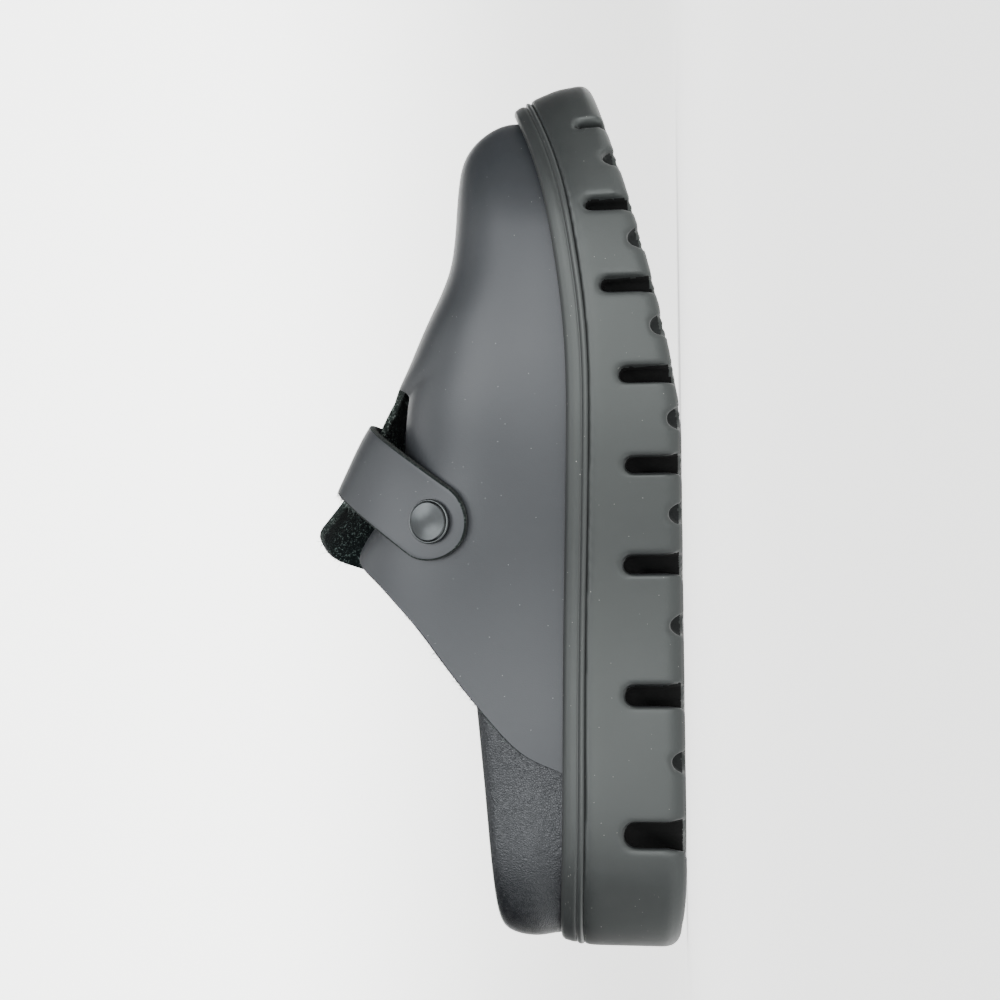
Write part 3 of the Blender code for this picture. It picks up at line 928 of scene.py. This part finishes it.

# %% [markdown]
# ## Leather, suede and the cut edge
# The leather is smooth and waxed: pores of half a millimetre that only just catch the light, broad soft
# clouds in the colour, and a few pale specks of lint. Suede is the other face of the same hide. Its short
# fibres scatter light, so it gets a rough bump, paler fibre tips and a little of the shader's sheen. A raw
# cut shows the same fibres, so it is a suede too. On the strap it is darker than on the flaps, partly as
# painted shade along the strap's edge.


# %% Leather finishes
def leather_finish(name, dark, pale):
    finish = Finish(name, {"Specular IOR Level": 0.45, "Specular Tint": colour(0.93, 0.965, 1.0)})
    cloud = finish.step(finish.noise(46.0, 4.0), 0.28, 0.72)
    pores = finish.step(finish.cells(0.55), 0.1, 0.55)
    lint = speckle(finish, 7.0, 0.032, 0.56) + 0.7 * speckle(finish, 2.4, 0.06, 0.52)
    base = finish.mix(cloud, colour(*dark), colour(*pale))
    linty = finish.mix(lint * 0.75, base, colour(0.34, 0.35, 0.35))
    wrinkle = finish.noise(3.2, 4.0)
    finish.paint(
        base_color=linty,
        roughness=0.43 + 0.07 * cloud + 0.2 * lint,
        normal=finish.bump(wrinkle, 0.014, finish.bump(pores, 0.006)),
    )
    return finish.material


def suede_finish(name, dark, pale):
    finish = Finish(name, {"Specular IOR Level": 0.08, "Sheen Weight": 0.05, "Sheen Roughness": 0.5})
    nap = finish.noise(0.45, 3.0)
    tips = finish.step(finish.noise(0.6, 2.0), 0.55, 0.66) * finish.step(finish.noise(7.0, 3.0), 0.34, 0.62)
    finish.paint(
        base_color=finish.mix(tips, colour(*dark), colour(*pale)),
        roughness=0.92,
        normal=finish.bump(nap, 0.5),
    )
    return finish.material


upper_leather = leather_finish("upper_leather", (0.011, 0.0125, 0.0145), (0.015, 0.0165, 0.0190))
hide_suede = suede_finish("hide_suede", (0.0006, 0.0028, 0.0032), (0.085, 0.118, 0.11))
# The strap's cut edge is darker than the flaps' edge: partly the raw cut's tone, partly painted shade.
shaded_cut_edge = suede_finish("shaded_cut_edge", (0.006, 0.0085, 0.008), (0.040, 0.050, 0.046))
flap_edge = suede_finish("flap_edge", (0.009, 0.0125, 0.0115), (0.10, 0.12, 0.11))
dress(upper, [upper_leather, hide_suede, flap_edge], ["upper"])

# %% [markdown]
# ## The footbed
# Inside lies a board covered with leather. At the back it rises into a cup that holds the heel, and the
# cup's outer wall shows behind the upper. The loft climbs that wall, turns over the lip and runs down into
# the dish. Where the upper covers it the wall leans in with the last, and at the bare back it bulges out.

# %% Footbed and heel cup
CUP_LIP = 64.5
CUP_SLOPE = 0.093
CUP_START, CUP_FULL = 122, 187
CUP_BULGE = 1.5
# inset, share of the lip's height, share of the dish's height.
BED_PROFILE = (
    (0.0, 0.0, None),
    (0.0, 0.28, None),
    (0.0, 0.56, None),
    (0.6, 0.80, None),
    (2.2, 0.95, None),
    (4.6, 1.0, None),
    (6.8, None, 0.86),
    (10.0, None, 0.42),
    (15.5, None, 0.06),
)


def bed_height(u):
    return rim_top(u) + 1.0 + 2.5 * blend(120, 180, u)


def lip_height(u):
    low = bed_height(u) + 0.6
    return low + (CUP_LIP - CUP_SLOPE * (u - CUP_FULL) - low) * blend(CUP_START, CUP_FULL, u)


def bed_level(u, wall, dish):
    """Height of one line of the footbed, given on its wall or in its dish."""
    if wall is None:
        return bed_height(u) + dish * (lip_height(u) - bed_height(u))
    foot = rim_top(u) - RIM_BAND + GAP
    return foot + wall * (lip_height(u) - foot)


def bed_reach(u, t, side, inset, wall, dish):
    """Inset of one line of the footbed: it leans in under the upper and bulges at the bare heel."""
    x, y = edge(t, side, UPPER_INSET + flare(u))
    height = lip_height(u) if wall is None else bed_level(u, wall, dish)
    on = shell(t, side * (1 - rise_at(t, side, height)))
    lean = np.hypot(on[..., 0] - x, on[..., 1] - y) * (1 - cup_bare(u))
    bulge = CUP_BULGE * blend(0.3, 0.55, 1.0 if wall is None else wall) * cup_bare(u)
    return bed_inset(u) + lean + inset - bulge


bed_loops = []
for inset, wall, dish in BED_PROFILE:
    bed_loops.append(
        ring(
            lambda u, t, side: bed_reach(u, t, side, inset, wall, dish),
            lambda u, t, side: bed_level(u, wall, dish),
        )
    )
bed_steps = 4
bed_loops = round_rows(bed_loops, 6.0, bed_steps)
bed_size = bed_loops.shape[1]
bed_faces = grid_faces(len(bed_loops), bed_size, wrap=True)
lining_row = 1 + 4.5 * (bed_steps + 1)
bed_slots = [int(number // bed_size > lining_row) for number in range(len(bed_faces))]
bottom = cap(0, bed_size)
dish = cap((len(bed_loops) - 1) * bed_size, bed_size)
bed_faces += bottom + dish
bed_slots += [0] * len(bottom) + [1] * len(dish)
footbed = make_piece("insole", bed_loops, bed_faces, bed_slots)

# %% [markdown]
# The cup's leather differs from the upper's: it is darker and shrunken into fine pebbles, so light breaks
# up on it into small points. A Voronoi pattern gives the pebbles. Their creases and the hollows of the broad
# folds are painted darker, as painted shade. The dish is lined with the hide's suede.


# %% Pebbled leather
def pebbled_finish(name, dark, pale):
    finish = Finish(name, {"Specular IOR Level": 0.42, "Specular Tint": colour(0.92, 0.96, 1.0)})
    pebble = 1 - finish.cells(0.6, "SMOOTH_F1")
    crease = finish.step(finish.cells(0.6, "DISTANCE_TO_EDGE"), 0.0, 0.16)
    fold = finish.noise(11.0, 4.0)
    # Painted shade: darker in the creases between pebbles and in the hollows of the folds, paler on their
    # tops.
    base = finish.mix(crease * finish.step(fold, 0.3, 0.75), colour(*dark), colour(*pale))
    finish.paint(
        base_color=base,
        roughness=0.38 - 0.06 * crease,
        normal=finish.bump(fold, 0.08, finish.bump(crease * pebble, 0.08)),
    )
    return finish.material


cup_leather = pebbled_finish("cup_leather", (0.0035, 0.004, 0.005), (0.0075, 0.008, 0.0095))
bed_suede = suede_finish("bed_suede", (0.010, 0.012, 0.012), (0.032, 0.036, 0.034))
dress(footbed, [cup_leather, bed_suede], ["footbed"])

# %% [markdown]
# ## The strap
# The strap is cut from the same leather. It runs over both flaps across the slit, leans back towards its
# ends and finishes in half-rounds. A flat band bent by a modifier would not lie on the last, so the strap
# has its own coordinates: length from the ridge and distance across. Both are carried onto the last by
# measuring along it.

# %% The strap's path over the last
STRAP_WALL = 2.2
STRAP_LIFT = 0.5
STRAP_HALF = 12.6
STRAP_END = 11.0
STRAP_SKEW = 0.2
STRAP_RIDGE = 115.8
STRAP_LEAN = 0.7
STRAP_SPREAD = 0.62
STRAP_BOW = 1.2
STRAP_PACE = 0.866
STRAP_LINES = 9
MIDDLE_LINE = STRAP_LINES // 2
STUD_HEIGHT = 74.4


def strap_point(phi, across):
    """Point on the last under the strap, and the direction away from it."""
    x = LENGTH - STRAP_RIDGE - across * STRAP_PACE
    crown = shell(station(x), 0.0, STRAP_SPREAD)[..., 2]
    place = x
    for _ in range(16):
        point = shell(station(place), phi, STRAP_SPREAD)
        place = place + 0.6 * (x - STRAP_LEAN * (crown - point[..., 2]) - point[..., 0])
    return shell(station(place), phi, STRAP_SPREAD), shell_out(station(place), phi, STRAP_SPREAD)


def strap_lift(phi, across):
    """Clearance under the strap. It spans the hollow of the instep, so its middle stands off the most."""
    bow = STRAP_BOW * (1 - np.minimum(1.0, np.abs(across) / STRAP_HALF) ** 2)
    return STRAP_LIFT + bow * (1 - blend(0.15, 0.5, np.abs(phi)))


strap_lines = np.linspace(-STRAP_HALF, STRAP_HALF, STRAP_LINES)
strap_phis = np.arange(46) * 0.018
strap_paths = {}
for side in (INNER, OUTER):
    points = strap_point(side * strap_phis[:, None], strap_lines[None, :])[0]
    steps = np.linalg.norm(np.diff(points, axis=0), axis=2)
    strap_paths[side] = np.concatenate([np.zeros((1, STRAP_LINES)), np.cumsum(steps, axis=0)])
    arm = np.interp(-STUD_HEIGHT, -points[:, MIDDLE_LINE, 2], strap_paths[side][:, MIDDLE_LINE])
    print("strap arm on side", side, "is", round(float(arm), 1), "mm to the stud")


def strap_phi(side, length, across):
    """Place on the arch that lies a given length down the strap."""
    lines = [side * np.interp(length, strap_paths[side][:, k], strap_phis) for k in range(STRAP_LINES)]
    lines = np.stack(lines, axis=-1)
    place = np.clip((across / STRAP_HALF + 1) * MIDDLE_LINE, 0, STRAP_LINES - 1.001)
    k = place.astype(int)[..., None]
    low = np.take_along_axis(lines, k, axis=-1)[..., 0]
    high = np.take_along_axis(lines, k + 1, axis=-1)[..., 0]
    return low + (high - low) * (place - k[..., 0])


# %% Strap
STRAP_COLUMNS = 25
strap_sections = []
stud_places = {}
for side in (INNER, OUTER):
    middle = strap_point(side * strap_phis, 0.0 * strap_phis)[0][:, 2]
    stud = float(np.interp(-STUD_HEIGHT, -middle, strap_paths[side][:, MIDDLE_LINE]))
    stud_places[side] = strap_point(strap_phi(side, np.array(stud), np.array(0.0)), np.array(0.0))
    outline = [(length, STRAP_HALF, 0.0) for length in np.linspace(0, stud, 64)]
    for turn in np.linspace(0, np.pi / 2, 25)[1:]:
        outline.append((stud + STRAP_END * math.sin(turn), STRAP_HALF * math.cos(turn), turn))
    half_sections = []
    for length, half, turn in outline:
        down, out = math.sin(turn), math.cos(turn)
        wide = half - CUT_BACK * out
        face = [(length - CUT_BACK * down, wide * s) for s in np.linspace(-1, 1, STRAP_COLUMNS)]
        rim_line = [(length - back * down, half - back * out, deep) for back, deep in CUT_EDGE]
        section = [(l, a, 0.0) for l, a in face] + rim_line
        section += [(l, a, 1.0) for l, a in face[::-1]]
        section += [(l, -a, deep) for l, a, deep in rim_line[::-1]]
        half_sections.append(section)
    places = np.array(half_sections)
    skew = STRAP_SKEW * np.clip(places[..., 0] / stud, 0.0, 1.0) * places[..., 1]
    phi = strap_phi(side, np.maximum(places[..., 0] - skew, 0.0), places[..., 1])
    points, away = strap_point(phi, places[..., 1])
    lift = strap_lift(phi, places[..., 1]) + STRAP_WALL * (1 - places[..., 2])
    strap_sections.append((points + away * lift[..., None])[:: side if side == OUTER else -1])
strap_points = np.concatenate([strap_sections[0], strap_sections[1][1:]])
strap_rows, strap_size = strap_points.shape[:2]
edge_faces = len(CUT_EDGE) + 1
strap_kinds = [OUTSIDE] * (STRAP_COLUMNS - 1) + [CUT] * edge_faces
strap_kinds += [INSIDE] * (STRAP_COLUMNS - 1) + [CUT] * edge_faces
strap = make_piece(
    "instep_strap",
    strap_points,
    grid_faces(strap_rows, strap_size, wrap=True),
    strap_kinds * (strap_rows - 1),
)
strap_leather = leather_finish("strap_leather", (0.011, 0.0125, 0.0145), (0.015, 0.0165, 0.0190))
dress(strap, [strap_leather, hide_suede, shaded_cut_edge], ["strap"])

# %% [markdown]
# ## The studs
# Two snap studs of dark nickel hold the strap. A stud is a turned part, so it is a profile spun about its
# own axis. Its face was polished on a lathe, so fine rings run round it: a bump made of a noise of the
# distance from the axis. Two soft fans of light on the face are a painted highlight, a paler colour by a sine
# of the angle round the axis, and a paler ring on the flange is a painted highlight too.

# %% Studs
STUD_LIFT = 0.5
# radius, height above the strap.
STUD_PROFILE = (
    (0.0, 0.0),
    (6.2, 0.0),
    (6.75, 0.35),
    (6.75, 0.85),
    (6.5, 1.2),
    (6.25, 1.2),
    (6.15, 1.0),
    (6.0, 1.5),
    (5.7, 1.8),
    (3.0, 2.0),
    (0.0, 2.06),
)
STUD_STEPS = 96
RINGS_PER_METRE = 9000
FAN_TURN = 0.6
FAN_FROM = 4.0
FLANGE_HIGHLIGHT = (5.9 * MM, 6.3 * MM)

corners = np.array([[(radius, 0.0, height)] for radius, height in STUD_PROFILE])
profile = round_rows(corners, 0.16, 4)[:, 0]
angles = np.linspace(0, 2 * np.pi, STUD_STEPS, endpoint=False)
lathe = np.stack(
    [
        profile[:, None, 0] * np.cos(angles),
        profile[:, None, 0] * np.sin(angles),
        profile[:, None, 2] + 0 * angles,
    ],
    axis=-1,
)


def nickel_finish(name, dark, pale, rim):
    finish = Finish(name, {"Metallic": 1.0})
    flat = finish.node("ShaderNodeVectorMath", {"operation": "MULTIPLY"}, {0: finish.place, 1: (1, 1, 0)})
    radius = finish.node("ShaderNodeVectorMath", {"operation": "LENGTH"}, {0: flat}, "Value")
    turning = {"W": radius * RINGS_PER_METRE, "Scale": 1.0}
    rings = finish.node("ShaderNodeTexNoise", {"noise_dimensions": "1D"}, turning)
    right, up = (finish.node("ShaderNodeSeparateXYZ", None, {0: finish.place}, axis) for axis in "XY")
    turn = up.math("ARCTAN2", up, right)
    wave = up.math("SINE", turn * 2 + FAN_TURN, 0.0)
    # Painted highlight: the face is paler in two fans, by the angle round the axis.
    fan_highlight = finish.step(wave, -1.0, 1.0) * finish.step(radius, 0.0, FAN_FROM * MM)
    face = finish.mix(fan_highlight, colour(*dark), colour(*pale))
    finish.paint(
        # Painted highlight: a paler ring of colour on the flange.
        base_color=finish.mix(finish.step(radius, *FLANGE_HIGHLIGHT), face, colour(*rim)),
        roughness=0.38 - 0.06 * fan_highlight,
        normal=finish.bump(rings, 0.02),
    )
    return finish.material


# Colours: the face, the painted highlight of the fans, the painted highlight on the flange.
dark_nickel = nickel_finish(
    "dark_nickel", (0.025, 0.027, 0.028), (0.053, 0.058, 0.060), (0.070, 0.076, 0.078)
)
for side, node in ((INNER, "stud_medial"), (OUTER, "stud_lateral")):
    point, away = stud_places[side]
    stud = make_piece(node + "_cap", lathe, grid_faces(len(profile), STUD_STEPS, wrap=True))
    stud.data.transform(Matrix.Translation((CENTRE_X * MM, CENTRE_Y * MM, 0)))
    seat = (point + away * (STRAP_LIFT + STRAP_WALL + STUD_LIFT) - (CENTRE_X, CENTRE_Y, 0)) * MM
    turned = Vector(away).to_track_quat("Z", "Y").to_matrix().to_4x4()
    stud.matrix_world = Matrix.Translation(Vector(seat)) @ turned
    dress(stud, [dark_nickel], [node])

# %% [markdown]
# ## Loose fibres
# Raw leather sheds short fibres along its cuts, and they catch the light against the dark shoe. Hair
# particles would not survive an export, so each fibre is a tiny three-sided tapered tube. They start on
# the cut edge of the collar, the slit and the strap, and a fixed seed keeps them where they are.

# %% Fibres along the cut edges
FIBRES_PER_SIDE = 420
STRAP_FIBRES = 160
FIBRE_RADIUS = 0.08
FRAY_WAY = np.array((-0.8, 0.0, -0.2))
chance = np.random.default_rng(7)


def fibre_tubes(roots, ways, lengths):
    """Points and faces of tapered tubes that start at roots, run along ways and droop a little."""
    points = []
    faces = []
    for root, way, length in zip(roots, ways, lengths):
        side_way = unit(np.cross(way, (0.3, 0.2, 1.0)))
        top_way = np.cross(way, side_way)
        curl = chance.normal(0, 0.35, 2)
        first = len(points)
        for s in (0.0, 0.4, 0.75, 1.0):
            middle = root + way * length * s + (side_way * curl[0] + top_way * curl[1]) * length * s * s
            for k in range(3):
                angle = 2 * math.pi * k / 3
                spread = side_way * math.cos(angle) + top_way * math.sin(angle)
                points.append(middle + spread * FIBRE_RADIUS * (1 - 0.8 * s))
        faces += [[first + corner for corner in face] for face in grid_faces(4, 3, wrap=True)]
    return points, faces


fibre_points = []
fibre_faces = []


def add_fibres(roots, ways):
    points, faces = fibre_tubes(roots, ways, chance.gamma(2.0, 0.5, len(roots)))
    fibre_faces.extend([len(fibre_points) + corner for corner in face] for face in faces)
    fibre_points.extend(points)


edge_t = station(LENGTH - np.linspace(SLIT_START + 1.5, COLLAR_END - 4, 500))
for side in (INNER, OUTER):
    end = open_edge(edge_t, side)
    tips = shell(edge_t, end)
    outs = shell_out(edge_t, end)
    ahead = unit(shell(edge_t, end - side * 4e-3) - shell(edge_t, end + side * 4e-3))
    picks = chance.choice(len(edge_t), FIBRES_PER_SIDE)
    roots = tips[picks] - outs[picks] * UPPER_WALL * chance.uniform(0.2, 0.95, (FIBRES_PER_SIDE, 1))
    ways = unit(ahead[picks] + chance.normal(0, 0.6, (FIBRES_PER_SIDE, 3)))
    add_fibres(roots, ways)

fray_run = np.linspace(2.0, 22.0, 300)
fray_across = np.full(len(fray_run), STRAP_HALF)
fray_phi = strap_phi(INNER, fray_run, fray_across)
fray, fray_out = strap_point(fray_phi, fray_across)
fray_lift = strap_lift(fray_phi, fray_across)[:, None]
fray_lift = fray_lift + STRAP_WALL * chance.uniform(0.1, 1.0, (len(fray_run), 1))
fray = fray + fray_out * fray_lift
picks = chance.choice(len(fray_run), STRAP_FIBRES)
ways = FRAY_WAY + 0.3 * fray_out[picks] + chance.normal(0, 0.6, (STRAP_FIBRES, 3))
add_fibres(fray[picks], unit(ways))
fibres = make_piece("cut_fibres", np.array(fibre_points), fibre_faces)
loose_fibre = suede_finish("loose_fibre", (0.05, 0.065, 0.06), (0.28, 0.33, 0.31))
dress(fibres, [loose_fibre])

# %% [markdown]
# ## Floor
# The shoe stands on a pale paper sweep: a flat floor that bends up behind it, so the picture has no
# horizon. A lamp on the paper would spill onto the shoe, so the paper glows by itself under and behind the
# shoe. That also draws the thin bright line along each silhouette.

# %% Floor and surroundings
SWEEP_HALF = 4.0
SWEEP_BEND = 0.9
SWEEP_RADIUS = 0.8
SWEEP_GLOW = 1.35

sweep_line = [(-SWEEP_HALF, 0.0), (SWEEP_BEND, 0.0)]
for angle in np.linspace(0, np.pi / 2, 33)[1:]:
    sweep_line.append((SWEEP_BEND + SWEEP_RADIUS * math.sin(angle), SWEEP_RADIUS * (1 - math.cos(angle))))
sweep_line.append((SWEEP_BEND + SWEEP_RADIUS, SWEEP_HALF))
sweep_mesh = bpy.data.meshes.new("floor")
sweep_mesh.from_pydata(
    [(x * SWEEP_HALF, y, z) for y, z in sweep_line for x in (-1, 1)],
    [],
    grid_faces(len(sweep_line), 2),
)
sweep_mesh.shade_smooth()
floor = bpy.data.objects.new("floor", sweep_mesh)
bpy.context.scene.collection.objects.link(floor)
paper = Finish("floor_paper", {"Roughness": 0.9, "Specular IOR Level": 0.1, "Emission Strength": SWEEP_GLOW})
axes = [paper.node("ShaderNodeSeparateXYZ", None, {0: paper.place}, axis) for axis in "XYZ"]
across, along, height = axes
outside = across.math("ABSOLUTE", across, 0.0) - 0.4 * along
lit = (1 - paper.step(outside, 0.38, 0.6)) * paper.step(along, -0.6, -0.35)
lit = lit * (1 - paper.step(height, 1.15, 1.5))
paper_cloud = paper.step(paper.noise(400.0, 2.0), 0.3, 0.7)
paper.paint(
    base_color=paper.mix(paper_cloud, colour(0.78, 0.78, 0.77), colour(0.81, 0.81, 0.80)),
    emission_color=paper.mix(
        lit,
        colour(0.02, 0.02, 0.02),
        paper.mix(paper.step(height, 0.0, 0.7), colour(0.95, 0.955, 0.945), colour(2.9, 2.93, 2.88)),
    ),
)
sweep_mesh.materials.append(paper.material)

world = bpy.data.worlds.new("studio")
world.use_nodes = True
sky = world.node_tree.nodes["Background"]
sky.inputs["Color"].default_value = colour(0.93, 0.94, 0.93)
sky.inputs["Strength"].default_value = 0.06
bpy.context.scene.world = world

# %% [markdown]
# ## Light
# A dark shoe shows its form by what it mirrors. Small lamps would leave hard spots on it, so these are wide:
# a window on the camera's side for the wall of the platform, a skylight above it for the flank of the vamp,
# and a weak ceiling lamp for the ridge and the strap.

# %% Lamps
LAMP_AIM = Vector((0.0, 0.0, 0.05))
# place, width, height, power.
LAMPS = {
    "window": ((0.23, -1.72, 0.30), 1.8, 0.8, 38.5),
    "skylight": ((0.23, -1.35, 1.35), 1.8, 1.2, 47.5),
    "ceiling": ((0.05, 0.05, 1.7), 1.6, 1.2, 12.0),
}
for name, (place, wide, tall, power) in LAMPS.items():
    lamp = bpy.data.lights.new(name, "AREA")
    lamp.shape = "ELLIPSE"
    lamp.size = wide
    lamp.size_y = tall
    lamp.energy = power
    holder = bpy.data.objects.new(name, lamp)
    holder.location = place
    holder.rotation_mode = "QUATERNION"
    holder.rotation_quaternion = (LAMP_AIM - Vector(place)).to_track_quat("-Z", "Y")
    bpy.context.scene.collection.objects.link(holder)
print("lamps:", ", ".join(LAMPS))

# %% [markdown]
# ## Camera
# The camera looks at the inner side and stays just above the floor, tilted up a little. It is turned so that
# the toe points to the top of the picture. A Track To constraint would keep the toe level, so the three axes
# of the camera are worked out from its look and put into its matrix.

# %% Camera
CAMERA_PLACE = Vector((0.0062, -0.450, 0.003))
CAMERA_TILT = math.radians(7.0)
CAMERA_ROLL = math.radians(0.8)
camera_data = bpy.data.cameras.new("camera")
camera_data.lens = 50.4
camera_data.sensor_width = 36.0
camera_data.clip_start = 0.002
camera = bpy.data.objects.new("camera", camera_data)
look = Vector((0.0, math.cos(CAMERA_TILT), math.sin(CAMERA_TILT)))
toe_up = Matrix.Rotation(CAMERA_ROLL, 3, look) @ Vector((1.0, 0.0, 0.0))
to_right = look.cross(toe_up)
turn = Matrix((to_right, toe_up, -look)).transposed().to_4x4()
camera.matrix_world = Matrix.Translation(CAMERA_PLACE) @ turn
bpy.context.scene.collection.objects.link(camera)
bpy.context.scene.camera = camera
print("camera", [round(v * 1000) for v in CAMERA_PLACE], "mm")
